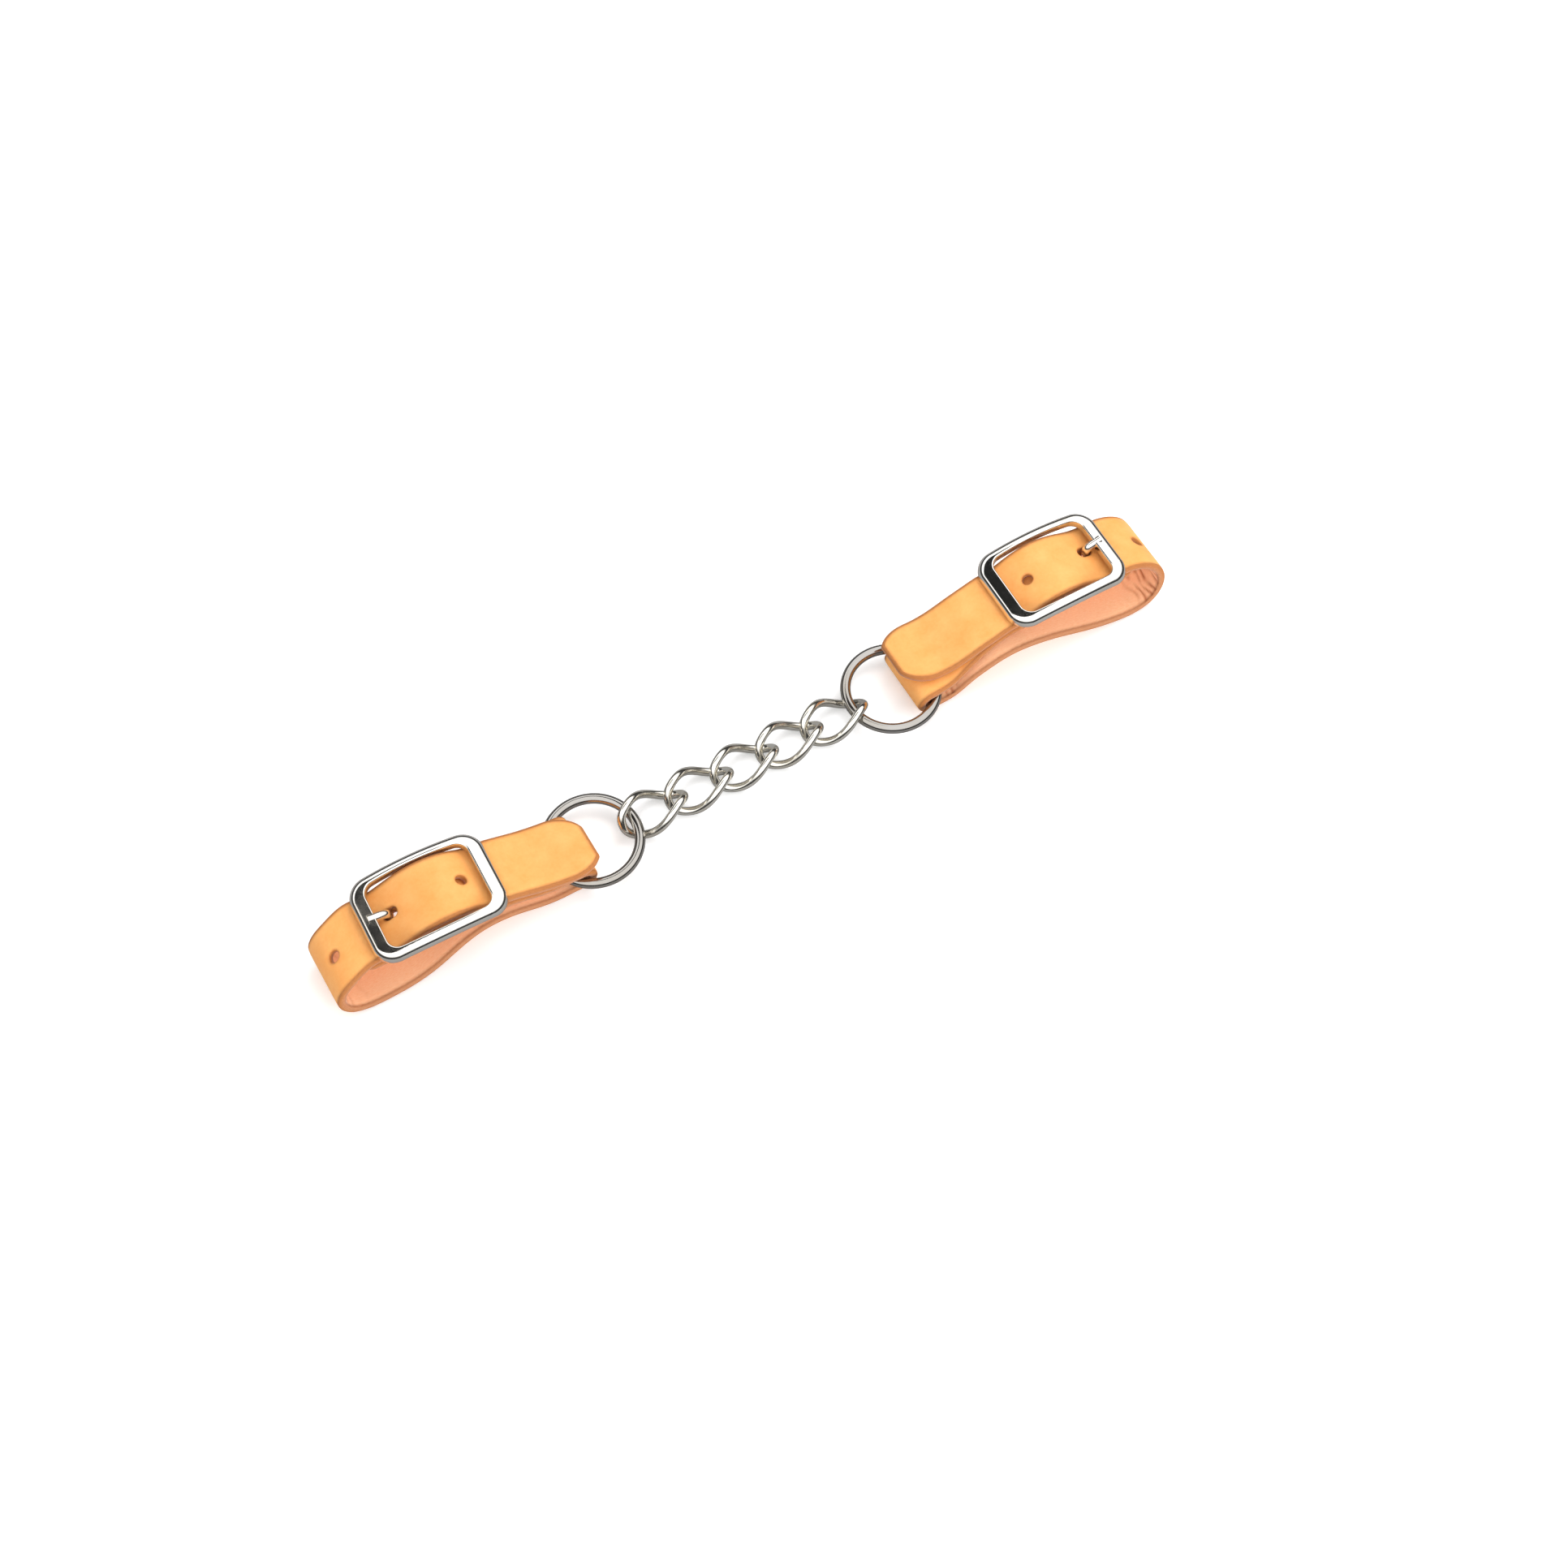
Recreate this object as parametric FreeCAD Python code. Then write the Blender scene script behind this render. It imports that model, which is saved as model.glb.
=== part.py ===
import FreeCAD, Part
import math
import os

# Curb chain with leather ends: five twisted links, two rings, two leather
# straps, each folded round its ring and looped through a one-piece buckle.
#
# Millimetres. X runs along the chain, Y across it, Z up. The origin is under
# the middle of the middle link, on the surface the piece lies on.
# "out" is the distance from a ring's centre towards the free end of its strap.

# ---- driving dimensions ----
STRAP_WIDTH = 18.9
LEATHER = 2.4            # leather thickness
LAYER_GAP = 0.12         # air between the two layers held by a buckle
HOLE = 3.0               # punched hole diameter
HOLE_PULL = 1.5          # how far the prong's own hole is drawn out towards the ring
HOLE_BELOW = 8.0         # how far under the buckle the prong's hole is punched from
HOLE_LENGTH = 14.0       # length of that punch: right through both layers

LINK_COUNT = 5
LINK_PITCH = 14.04
LINK_WIRE = 2.3
LINK_HALF_LENGTH = 9.2   # centreline
LINK_HALF_WIDTH = 5.5    # centreline
LINK_TWIST = 48.0        # degrees each end is turned from the middle
LINK_SQUARENESS = 2.3    # 2 is an ellipse, more is squarer
LINK_POINTS = 48

RING_WIRE = 2.86
RING_RADIUS = 12.55      # to the middle of the wire
LEFT_RING_X = -46.3
RIGHT_RING_X = 46.5
CHAIN_HEIGHT = 4.12      # middle of the chain and rings above the surface

FOLD_OUT = 7.4           # middle of the fold round the ring wire
FOLD_RADIUS = 2.9        # to the middle of the leather
FOLD_STEPS = 6

BUCKLE_WINDOW = (28.6, 19.3)
BUCKLE_END_BAR = 4.4
BUCKLE_SIDE_BAR = 2.8
BUCKLE_BULGE = 0.6       # how far the long sides bow outwards
BUCKLE_ARCH = 1.8        # how far the middle stands above the ends
BUCKLE_THICKNESS = 2.8
BUCKLE_CORNER = 6.0
WINDOW_CORNER = 3.2
BUCKLE_DOME = 2.1        # rounding of the frame's upper outside edge
BUCKLE_EDGE = 0.5        # rounding of its other edges
ARCH_OVERRUN = 2.0       # the arched slab is this much longer than the frame at each end
PLAN_HEIGHT = 10.0       # tall enough to hold the whole arched frame
EDGE_BAND = 0.35         # edges this close to the frame's top or bottom belong to it
MID_POWER = 4            # squareness of the line down the middle of the frame's bars
PRONG = 2.4              # prong diameter
PRONG_START = 2.9        # height of the prong where it leaves the end bar
PRONG_HEIGHT = 2.3       # height where it turns down the holes
PRONG_BEND = 2.4
PRONG_DEPTH = 7.0        # from there to the middle of its rounded point

# ---- shape of the left leather end: (out, across, height) of mid leather ----
LEFT_LOWER = [
    (10.2, 0.0, 1.22), (13.0, 0.0, 1.27), (19.0, 0.0, 2.3), (25.0, 0.0, 4.6), (31.0, 0.0, 6.2),
    (37.0, 0.0, 6.0), (44.0, -0.5, 4.1), (51.0, -1.6, 2.1), (58.0, -2.5, 1.35),
    (66.0, -2.8, 1.25),
]
LEFT_END = [
    (72.0, -2.6, 1.5), (76.2, -2.0, 3.3), (77.6, -1.2, 6.2), (76.2, -0.3, 9.4),
    (72.5, 0.7, 11.5),
]
# (out, height) of the joint face between the two layers held by the buckle
LEFT_HELD = [
    (13.0, 8.26), (19.0, 8.8), (25.0, 10.1), (29.0, 10.85), (32.5, 11.35),
    (37.0, 13.6), (42.0, 15.5), (48.0, 15.5), (53.0, 13.9), (57.0, 12.1),
    (61.0, 11.1), (66.0, 10.9),
]
# (out, across) of the two held layers
LEFT_UNDER_ACROSS = [(8.2, 0.0), (20.0, 0.6), (27.0, 1.25), (66.0, 2.6), (72.0, 2.7)]
LEFT_TOP_ACROSS = [(1.0, -1.4), (8.2, -1.1), (20.0, 0.4), (27.0, 1.25), (66.0, 2.5)]

# ---- shape of the right leather end ----
RIGHT_LOWER = [
    (10.2, 0.0, 1.22), (12.6, 0.0, 1.3), (15.0, 0.0, 1.75), (19.5, 0.0, 4.5), (26.0, 0.0, 7.4),
    (33.0, 0.0, 8.8), (40.0, -0.2, 8.3), (47.0, -0.6, 6.8), (54.0, -1.2, 4.8),
    (61.0, -1.8, 2.9), (68.0, -2.2, 1.6),
]
RIGHT_END = [
    (74.5, -2.3, 1.35), (79.6, -1.8, 2.9), (82.3, -0.8, 6.2), (82.3, 0.5, 10.2),
    (79.6, 1.9, 13.3),
]
RIGHT_HELD = [
    (13.0, 8.3), (19.0, 9.8), (25.0, 11.7), (31.0, 12.75), (35.0, 13.1),
    (39.0, 13.6), (44.0, 15.9), (50.0, 17.8), (56.0, 17.2), (60.0, 15.6),
    (64.5, 13.8), (68.5, 13.2), (73.0, 13.2),
]
RIGHT_UNDER_ACROSS = [(8.2, 0.0), (14.0, 0.4), (24.0, 2.6), (33.0, 4.0), (73.0, 3.6), (79.0, 3.5)]
RIGHT_TOP_ACROSS = [(2.0, 4.0), (8.2, 3.7), (20.0, 3.0), (27.0, 3.3), (35.0, 4.0), (73.0, 3.6)]

# prong_reach: from the end bar to the middle of the prong's point.
# hole_steps: the other holes, measured from the prong's along the strap towards its top tip.
LEFT = {
    "ring_x": LEFT_RING_X, "side": -1, "lower": LEFT_LOWER, "end": LEFT_END,
    "held": LEFT_HELD, "under_across": LEFT_UNDER_ACROSS, "top_across": LEFT_TOP_ACROSS,
    "under_tip": 70.5, "top_tip": 1.6, "tip_lean": -2.0,
    "buckle_out": 46.2, "buckle_across": 1.5, "buckle_base": 13.6, "buckle_yaw": -2.0,
    "prong_reach": 3.4, "prong_across": -1.0, "hole_steps": (-17.3, 20.8),
}
RIGHT = {
    "ring_x": RIGHT_RING_X, "side": 1, "lower": RIGHT_LOWER, "end": RIGHT_END,
    "held": RIGHT_HELD, "under_across": RIGHT_UNDER_ACROSS, "top_across": RIGHT_TOP_ACROSS,
    "under_tip": 77.0, "top_tip": 2.6, "tip_lean": 2.0,
    "buckle_out": 53.4, "buckle_across": 3.75, "buckle_base": 15.9, "buckle_yaw": -0.8,
    "prong_reach": 2.3, "prong_across": 1.3, "hole_steps": (-15.5, 20.8),
}
TOP_TIP_LENGTH = 9.0     # rounded end of the layer you can see
UNDER_TIP_LENGTH = 5.0   # rounded end of the hidden layer
TIP_BLUNTNESS = 0.30     # width left at the very tip, as a share of the strap
TOP_TIP_DROP = 0.2       # how far each tip sags below the layer it ends
UNDER_TIP_DROP = 0.3
STATION = 1.6            # spacing of the points along the strap's faces
TIP_STEPS = 7            # cross-sections along each rounded tip


def vec(x, y, z):
    return FreeCAD.Vector(x, y, z)


def along(table, out):
    """Straight-line reading of an (out, value) table."""
    if out <= table[0][0]:
        return table[0][1]
    for (a, va), (b, vb) in zip(table, table[1:]):
        if out <= b:
            return va + (vb - va) * (out - a) / (b - a)
    return table[-1][1]


# ---- chain ----
def power_of(value, power):
    return math.copysign(abs(value) ** power, value)


def link_centreline(centre_x):
    """Closed curve of one link: a squared oval whose ends are turned opposite ways."""
    points = []
    for i in range(LINK_POINTS):
        angle = 2 * math.pi * i / LINK_POINTS
        x = LINK_HALF_LENGTH * power_of(math.cos(angle), 2 / LINK_SQUARENESS)
        y = LINK_HALF_WIDTH * power_of(math.sin(angle), 2 / LINK_SQUARENESS)
        turn = -math.radians(LINK_TWIST) * math.sin(math.pi / 2 * x / LINK_HALF_LENGTH)
        points.append(vec(centre_x + x, y * math.cos(turn), CHAIN_HEIGHT + y * math.sin(turn)))
    curve = Part.BSplineCurve()
    curve.interpolate(Points=points, PeriodicFlag=True)
    return curve


def sweep_circle(path, diameter, start, heading):
    sweep = Part.BRepOffsetAPI.MakePipeShell(path)
    sweep.add(Part.Wire([Part.makeCircle(diameter / 2, start, heading)]))
    sweep.build()
    sweep.makeSolid()
    return sweep.shape()


def build_link(centre_x):
    """Two half links swept end to end and joined."""
    curve = link_centreline(centre_x)
    first = curve.FirstParameter
    last = curve.LastParameter
    middle = (first + last) / 2
    halves = []
    for start, end in ((first, middle), (middle, last)):
        path = Part.Wire([Part.Edge(curve, start, end)])
        halves.append(sweep_circle(path, LINK_WIRE, curve.value(start), curve.tangent(start)[0]))
    return halves[0].fuse(halves[1])


def build_ring(end):
    return Part.makeTorus(RING_RADIUS, RING_WIRE / 2, vec(end["ring_x"], 0, CHAIN_HEIGHT))


# ---- leather ----
def held_layer(end, lift, across):
    """Points of one held layer, ring side first; lift moves it off the joint face."""
    table = end["held"]
    points = []
    for i, (out, height) in enumerate(table):
        before = table[max(i - 1, 0)]
        after = table[min(i + 1, len(table) - 1)]
        slope = math.atan2(after[1] - before[1], after[0] - before[0])
        new_out = out - lift * math.sin(slope)
        points.append((new_out, along(across, new_out), height + lift * math.cos(slope)))
    return points


def fold(end):
    """Half circle round the ring wire, from the upper layer down to the lower one."""
    across = along(end["under_across"], FOLD_OUT)
    points = []
    for i in range(FOLD_STEPS + 1):
        angle = math.pi / 2 + math.pi * i / FOLD_STEPS
        out = FOLD_OUT + FOLD_RADIUS * math.cos(angle)
        points.append((out, across, LEATHER / 2 + FOLD_RADIUS * (1 + math.sin(angle))))
    return points


def strap_route(end):
    """Middle of the leather from its hidden tip, round the ring, round the loop, to its top tip."""
    lift = (LEATHER + LAYER_GAP) / 2
    under = held_layer(end, -lift, end["under_across"])
    top = held_layer(end, lift, end["top_across"])
    last = under[-1]
    under_tip = (end["under_tip"], along(end["under_across"], end["under_tip"]), last[2] - UNDER_TIP_DROP)
    first = top[0]
    beside_fold = (FOLD_OUT, along(end["top_across"], FOLD_OUT), first[2])
    top_tip = (end["top_tip"], along(end["top_across"], end["top_tip"]), first[2] - TOP_TIP_DROP)
    route = [under_tip] + under[::-1] + fold(end) + end["lower"] + end["end"]
    route += top[::-1] + [beside_fold, top_tip]
    return [vec(*point) for point in route]


def tip_share(distance, length):
    """Share of the full width left at a distance from a rounded tip."""
    if distance >= length:
        return 1.0
    inward = 1 - distance / length
    return TIP_BLUNTNESS + (1 - TIP_BLUNTNESS) * math.sqrt(max(0.0, 1 - inward ** 2))


def frame_at(end, curve, distance):
    """Middle of the leather, its upward normal and its width, at a distance from the hidden tip."""
    parameter = curve.parameterAtDistance(distance, curve.FirstParameter)
    middle = curve.value(parameter)
    heading = curve.tangent(parameter)[0]
    up = vec(-heading.z, 0, heading.x)
    up.normalize()
    under_share = tip_share(distance, UNDER_TIP_LENGTH)
    top_share = tip_share(curve.length() - distance, TOP_TIP_LENGTH)
    middle.y += end["tip_lean"] * (1 - top_share)
    return middle, up, STRAP_WIDTH * min(under_share, top_share)


def rounded_tip(end, curve, distances):
    """Leather whose width changes: a loft through rectangles."""
    sections = []
    for distance in distances:
        middle, up, width = frame_at(end, curve, distance)
        half = vec(0, width / 2, 0)
        rise = up * (LEATHER / 2)
        sections.append(Part.makePolygon([middle - half - rise, middle + half - rise,
                                          middle + half + rise, middle - half + rise,
                                          middle - half - rise]))
    return Part.makeLoft(sections, True, False)


def full_width(end, curve, distances):
    """Leather of full width: two long curves drawn out sideways, closed by its edges and ends."""
    half = vec(0, STRAP_WIDTH / 2, 0)
    lines = []
    for lift in (-LEATHER / 2, LEATHER / 2):
        points = []
        for distance in distances:
            middle, up, width = frame_at(end, curve, distance)
            points.append(middle + up * lift - half)
        line = Part.BSplineCurve()
        line.interpolate(Points=points)
        lines.append(line.toShape())
    low, high = lines
    near_edge = Part.makeRuledSurface(low, high)
    far_edge = near_edge.copy()
    far_edge.translate(half * 2)
    faces = [near_edge, far_edge, low.extrude(half * 2), high.extrude(half * 2)]
    for tip in (0, -1):
        rise = Part.makeLine(low.Vertexes[tip].Point, high.Vertexes[tip].Point)
        faces.append(rise.extrude(half * 2))
    shell = Part.makeShell(faces)
    shell.sewShape()
    solid = Part.makeSolid(shell)
    if solid.Volume < 0:
        solid.reverse()
    return solid


def even_steps(start, end, step):
    count = round((end - start) / step)
    return [start + (end - start) * i / count for i in range(count + 1)]


def tip_steps(length):
    """Distances from a tip, closer together where its outline turns fastest."""
    return [length * (1 - math.cos(math.pi / 2 * i / TIP_STEPS)) for i in range(TIP_STEPS + 1)]


def build_strap_blank(end):
    curve = Part.BSplineCurve()
    curve.interpolate(Points=strap_route(end))
    length = curve.length()
    under = tip_steps(UNDER_TIP_LENGTH)
    top = [length - distance for distance in tip_steps(TOP_TIP_LENGTH)][::-1]
    middle = even_steps(under[-1], top[0], STATION)
    stretches = [rounded_tip(end, curve, under), full_width(end, curve, middle),
                 rounded_tip(end, curve, top)]
    return stretches[0].fuse(stretches[1:]), curve


def place_end(shape, end):
    """From (out, across, height) to the row: the left end is turned round."""
    if end["side"] < 0:
        shape = shape.mirror(vec(0, 0, 0), vec(1, 0, 0))
    shape.translate(vec(end["ring_x"], 0, 0))
    return shape


def peg_place(end):
    """(out, across) of the prong's point."""
    reach = BUCKLE_WINDOW[0] / 2 - end["prong_reach"]
    slope = end["side"] * math.tan(math.radians(end["buckle_yaw"]))
    across = end["buckle_across"] + reach * slope + end["side"] * end["prong_across"]
    return end["buckle_out"] + reach, across


def punch(end, curve):
    """Hole tools: a slot through both held layers at the prong, round holes elsewhere."""
    out, across = peg_place(end)
    low = end["buckle_base"] - HOLE_BELOW
    tools = [Part.makeBox(HOLE_PULL, HOLE, HOLE_LENGTH, vec(out - HOLE_PULL, across - HOLE / 2, low))]
    for place in (out, out - HOLE_PULL):
        tools.append(Part.makeCylinder(HOLE / 2, HOLE_LENGTH, vec(place, across, low), vec(0, 0, 1)))
    top_layer = curve.parameter(vec(out, across, end["buckle_base"]))
    peg_distance = curve.length(curve.FirstParameter, top_layer)
    for step in end["hole_steps"]:
        parameter = curve.parameterAtDistance(peg_distance + step, curve.FirstParameter)
        middle = curve.value(parameter)
        heading = curve.tangent(parameter)[0]
        through = vec(-heading.z, 0, heading.x)
        through.normalize()
        start = middle - through * LEATHER
        tools.append(Part.makeCylinder(HOLE / 2, 2 * LEATHER, start, through))
    return tools


def build_strap(end):
    blank, curve = build_strap_blank(end)
    for tool in punch(end, curve):
        blank = blank.cut(tool)
    return place_end(blank, end)


# ---- buckle, built flat with its outer end towards +X ----
def barrel_outline(length, width, bulge, corner):
    """Face of a rectangle whose long sides bow outwards, with smooth rounded corners."""
    a = length / 2
    middle = width / 2 + bulge
    bow = (a ** 2 + bulge ** 2) / (2 * bulge)
    reach = math.sqrt((bow - corner) ** 2 - (a - corner) ** 2)
    corner_y = middle - bow + reach
    lean = math.atan2(a - corner, reach)
    meet = (bow * math.sin(lean), middle - bow + bow * math.cos(lean))
    half = (lean + math.pi / 2) / 2
    bend = (a - corner + corner * math.sin(half), corner_y + corner * math.cos(half))
    edges = []
    for sx, sy in ((1, 1), (1, -1), (-1, -1), (-1, 1)):
        edges.append(Part.Arc(vec(sx * meet[0], sy * meet[1], 0), vec(sx * bend[0], sy * bend[1], 0),
                              vec(sx * a, sy * corner_y, 0)).toShape())
    for side in (1, -1):
        edges.append(Part.Arc(vec(-meet[0], side * meet[1], 0), vec(0, side * middle, 0),
                              vec(meet[0], side * meet[1], 0)).toShape())
        edges.append(Part.LineSegment(vec(side * a, corner_y, 0), vec(side * a, -corner_y, 0)).toShape())
    return Part.Face(Part.Wire(Part.__sortEdges__(edges)))


def arched_band(length, width):
    """Slab that is BUCKLE_ARCH higher in the middle than at its ends."""
    a = length / 2 + ARCH_OVERRUN
    y = width
    fall = BUCKLE_ARCH * ((a / (length / 2)) ** 2 - 1)
    low = Part.Arc(vec(-a, -y, -fall), vec(0, -y, BUCKLE_ARCH), vec(a, -y, -fall)).toShape()
    top = Part.Arc(vec(-a, -y, BUCKLE_THICKNESS - fall), vec(0, -y, BUCKLE_THICKNESS + BUCKLE_ARCH),
                   vec(a, -y, BUCKLE_THICKNESS - fall)).toShape()
    left = Part.LineSegment(vec(-a, -y, -fall), vec(-a, -y, BUCKLE_THICKNESS - fall)).toShape()
    right = Part.LineSegment(vec(a, -y, -fall), vec(a, -y, BUCKLE_THICKNESS - fall)).toShape()
    face = Part.Face(Part.Wire([low, right, top, left]))
    return face.extrude(vec(0, 2 * y, 0))


def build_prong(reach, across):
    """Round prong: out of the end bar, down over the leather, then down the holes."""
    bar = BUCKLE_WINDOW[0] / 2
    peg = bar - reach
    start = vec(bar + BUCKLE_END_BAR / 2, across, PRONG_START)
    turn = vec(peg + PRONG_BEND, across, PRONG_HEIGHT)
    slope = math.atan2(start.z - turn.z, start.x - turn.x)
    low = vec(peg, across, PRONG_HEIGHT - PRONG_BEND)
    bend = Part.BezierCurve()
    bend.setPoles([turn, vec(peg, across, PRONG_HEIGHT - PRONG_BEND * math.sin(slope)), low])
    down = vec(peg, across, PRONG_HEIGHT - PRONG_DEPTH)
    path = Part.Wire([Part.makeLine(start, turn), bend.toShape(), Part.makeLine(low, down)])
    heading = vec(-math.cos(slope), 0, -math.sin(slope))
    point = Part.makeSphere(PRONG / 2, down)
    return sweep_circle(path, PRONG, start, heading).fuse(point)


def frame_arch(x, length):
    return BUCKLE_ARCH * (1 - (2 * x / length) ** 2)


def frame_edges(frame, top, outer):
    """The frame's edges: its top or bottom ones, on the outside or round the window.

    The squared oval down the middle of the bars tells the outside from the window.
    """
    mid_x = (BUCKLE_WINDOW[0] + BUCKLE_END_BAR) / 2
    mid_y = (BUCKLE_WINDOW[1] + BUCKLE_SIDE_BAR) / 2 + BUCKLE_BULGE
    found = []
    for edge in frame.Edges:
        middle = edge.valueAt((edge.FirstParameter + edge.LastParameter) / 2)
        rise = middle.z - frame_arch(middle.x, BUCKLE_WINDOW[0] + 2 * BUCKLE_END_BAR)
        level = rise > BUCKLE_THICKNESS - EDGE_BAND if top else rise < EDGE_BAND
        outside = (middle.x / mid_x) ** MID_POWER + (middle.y / mid_y) ** MID_POWER > 1
        if level and outside == outer:
            found.append(edge)
    return found


def build_buckle(end):
    window_length, window_width = BUCKLE_WINDOW
    length = window_length + 2 * BUCKLE_END_BAR
    width = window_width + 2 * BUCKLE_SIDE_BAR
    outer = barrel_outline(length, width, BUCKLE_BULGE, BUCKLE_CORNER)
    window = barrel_outline(window_length, window_width, BUCKLE_BULGE, WINDOW_CORNER)
    outer.translate(vec(0, 0, -PLAN_HEIGHT / 2))
    window.translate(vec(0, 0, -PLAN_HEIGHT / 2))
    plan = outer.extrude(vec(0, 0, PLAN_HEIGHT)).cut(window.extrude(vec(0, 0, PLAN_HEIGHT)))
    frame = plan.common(arched_band(length, width)).removeSplitter()
    frame = frame.makeFillet(BUCKLE_DOME, frame_edges(frame, True, True))
    frame = frame.makeFillet(BUCKLE_EDGE, frame_edges(frame, True, False))
    frame = frame.makeFillet(BUCKLE_EDGE, frame_edges(frame, False, True))
    frame = frame.makeFillet(BUCKLE_EDGE, frame_edges(frame, False, False))
    frame = frame.fuse(build_prong(end["prong_reach"], end["prong_across"]))
    if end["side"] < 0:
        frame.rotate(vec(0, 0, 0), vec(0, 0, 1), 180)
    frame.rotate(vec(0, 0, 0), vec(0, 0, 1), end["buckle_yaw"])
    frame.translate(vec(end["ring_x"] + end["side"] * end["buckle_out"],
                        end["buckle_across"], end["buckle_base"]))
    return frame


def save(name, shape):
    shape.exportStep(os.path.join("parts", name + ".step"))


def main():
    os.makedirs("parts", exist_ok=True)
    for i in range(LINK_COUNT):
        save("link_%d" % (i + 1), build_link((i - LINK_COUNT // 2) * LINK_PITCH))
    for name, end in (("left", LEFT), ("right", RIGHT)):
        save(name + "_ring", build_ring(end))
        save(name + "_strap", build_strap(end))
        save(name + "_buckle", build_buckle(end))


main()
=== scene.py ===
import math

import bmesh
import bpy
import numpy as np
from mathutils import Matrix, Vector, noise


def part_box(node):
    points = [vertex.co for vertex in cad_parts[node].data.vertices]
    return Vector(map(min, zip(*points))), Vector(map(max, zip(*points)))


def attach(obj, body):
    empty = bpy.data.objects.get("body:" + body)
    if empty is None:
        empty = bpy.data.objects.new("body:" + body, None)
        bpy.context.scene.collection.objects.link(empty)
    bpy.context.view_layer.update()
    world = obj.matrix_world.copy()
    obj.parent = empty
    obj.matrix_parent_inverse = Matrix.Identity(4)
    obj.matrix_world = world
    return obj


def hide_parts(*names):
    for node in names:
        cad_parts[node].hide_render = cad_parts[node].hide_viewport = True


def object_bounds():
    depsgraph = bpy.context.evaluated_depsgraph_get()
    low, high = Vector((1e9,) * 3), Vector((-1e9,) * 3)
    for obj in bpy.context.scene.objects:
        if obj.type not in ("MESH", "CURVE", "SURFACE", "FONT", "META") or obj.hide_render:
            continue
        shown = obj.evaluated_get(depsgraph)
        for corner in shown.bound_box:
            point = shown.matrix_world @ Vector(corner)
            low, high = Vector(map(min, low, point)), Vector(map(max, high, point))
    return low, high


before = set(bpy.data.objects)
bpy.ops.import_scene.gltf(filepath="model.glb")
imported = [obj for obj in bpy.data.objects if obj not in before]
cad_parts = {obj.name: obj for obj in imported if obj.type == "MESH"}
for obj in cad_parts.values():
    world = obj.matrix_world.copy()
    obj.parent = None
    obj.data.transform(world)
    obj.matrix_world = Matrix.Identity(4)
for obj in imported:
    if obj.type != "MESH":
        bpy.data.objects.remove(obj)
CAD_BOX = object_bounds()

# Looks for a curb chain with leather ends. The chain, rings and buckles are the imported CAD
# nodes with polished nickel on them. The two straps are modelled here as one long strip of leather
# each, with a grain side, a flesh side, burnished edges and punched holes.
#
# Leather shapes are in millimetres, in strap terms: "out" runs from the ring's centre towards
# the strap's free loop, "across" is the row's Y, "height" is the row's Z.

MM = 0.001

# ---- leather ----
STRAP_WIDTH = 18.9
LEATHER = 2.4
LAYER_GAP = 0.12
EDGE_ROUND = 0.62
HOLE = 3.0
HOLE_RIM = 0.28
HOLE_PULL = 1.5          # how far the prong's own hole is drawn out towards the ring
CELL = 0.45              # size of one mesh cell
HOLE_BLOCK = 6           # cells from a hole's middle to the edge of the patch meshed round it
HOLE_LOOPS = 5           # loops of cells from there in to the hole's rim
HOLE_LIP_ANGLES = (30, 60, 90)   # where the rounded rim is meshed, in degrees
UNDER_LAYER_ENDS = 0.3   # shares of the strip's length
TOP_LAYER_STARTS = 0.65
EDGE_LOOPS = 4           # loops of cells round each half of the cut edge
COURSE_STEPS = 60        # samples of the strip's curve between two points of its route
FOLD_OUT = 7.4           # middle of the fold round the ring
FOLD_RADIUS = 2.9        # to the middle of the leather
FOLD_STEPS = 6
TOP_TIP_LENGTH = 9.0
UNDER_TIP_LENGTH = 5.0
TIP_BLUNTNESS = 0.30     # share of the width left at the very end of a tip
TOP_TIP_DROP = 0.2
UNDER_TIP_DROP = 0.3
EDGE_BULGE_POWER = 0.8   # below 1 the cut edge is squarer than a half circle
EDGE_LIFT_POWER = 0.75

# ---- wear and unevenness of the leather: depths, then how wide their patches are ----
SWELL = 0.035
SWELL_SIZE = 7.0
GRAIN_SWELL = 0.012      # doubled on the flesh side
GRAIN_SIZE = 1.6
EDGE_FUZZ = 0.02
EDGE_FUZZ_SIZE = 0.9
EDGE_FUZZ_STEP = 0.7     # how fast the fuzz changes from one edge loop to the next
WORN_AWAY = 0.10         # thickness lost where the wear is full
EDGE_WEAR_REACH = 0.55
HOLE_WEAR = 0.8          # wear at a hole's rim, as a share of the wear at an edge
HOLE_WEAR_REACH = 0.45
HOLE_DISH = 0.10         # dip of the leather round a hole
HOLE_DISH_REACH = 0.9

# ---- cross wrinkles inside the bends ----
WRINKLE_PITCH = 2.4
WRINKLE_DEPTH = 0.40
WRINKLE_GAIN = 14        # the squeeze is this times the bend, less the slack
WRINKLE_SLACK = 0.5
WRINKLE_WANDER = 1.7
WRINKLE_WANDER_SIZE = 5.0
WRINKLE_SHARE = 0.75     # how much of the width the wrinkles cross, and how unevenly
WRINKLE_BREAKS = 1.3
WRINKLE_BREAK_SIZE = 3.2

# ---- places in the noise field, so that no two patterns match ----
SWELL_SEED = 3.0
GRAIN_SEED = 5.0
FLESH_SEED_STEP = 9
WRINKLE_WANDER_SEED = 40.0
WRINKLE_BREAK_SEED = 61.0

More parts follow.
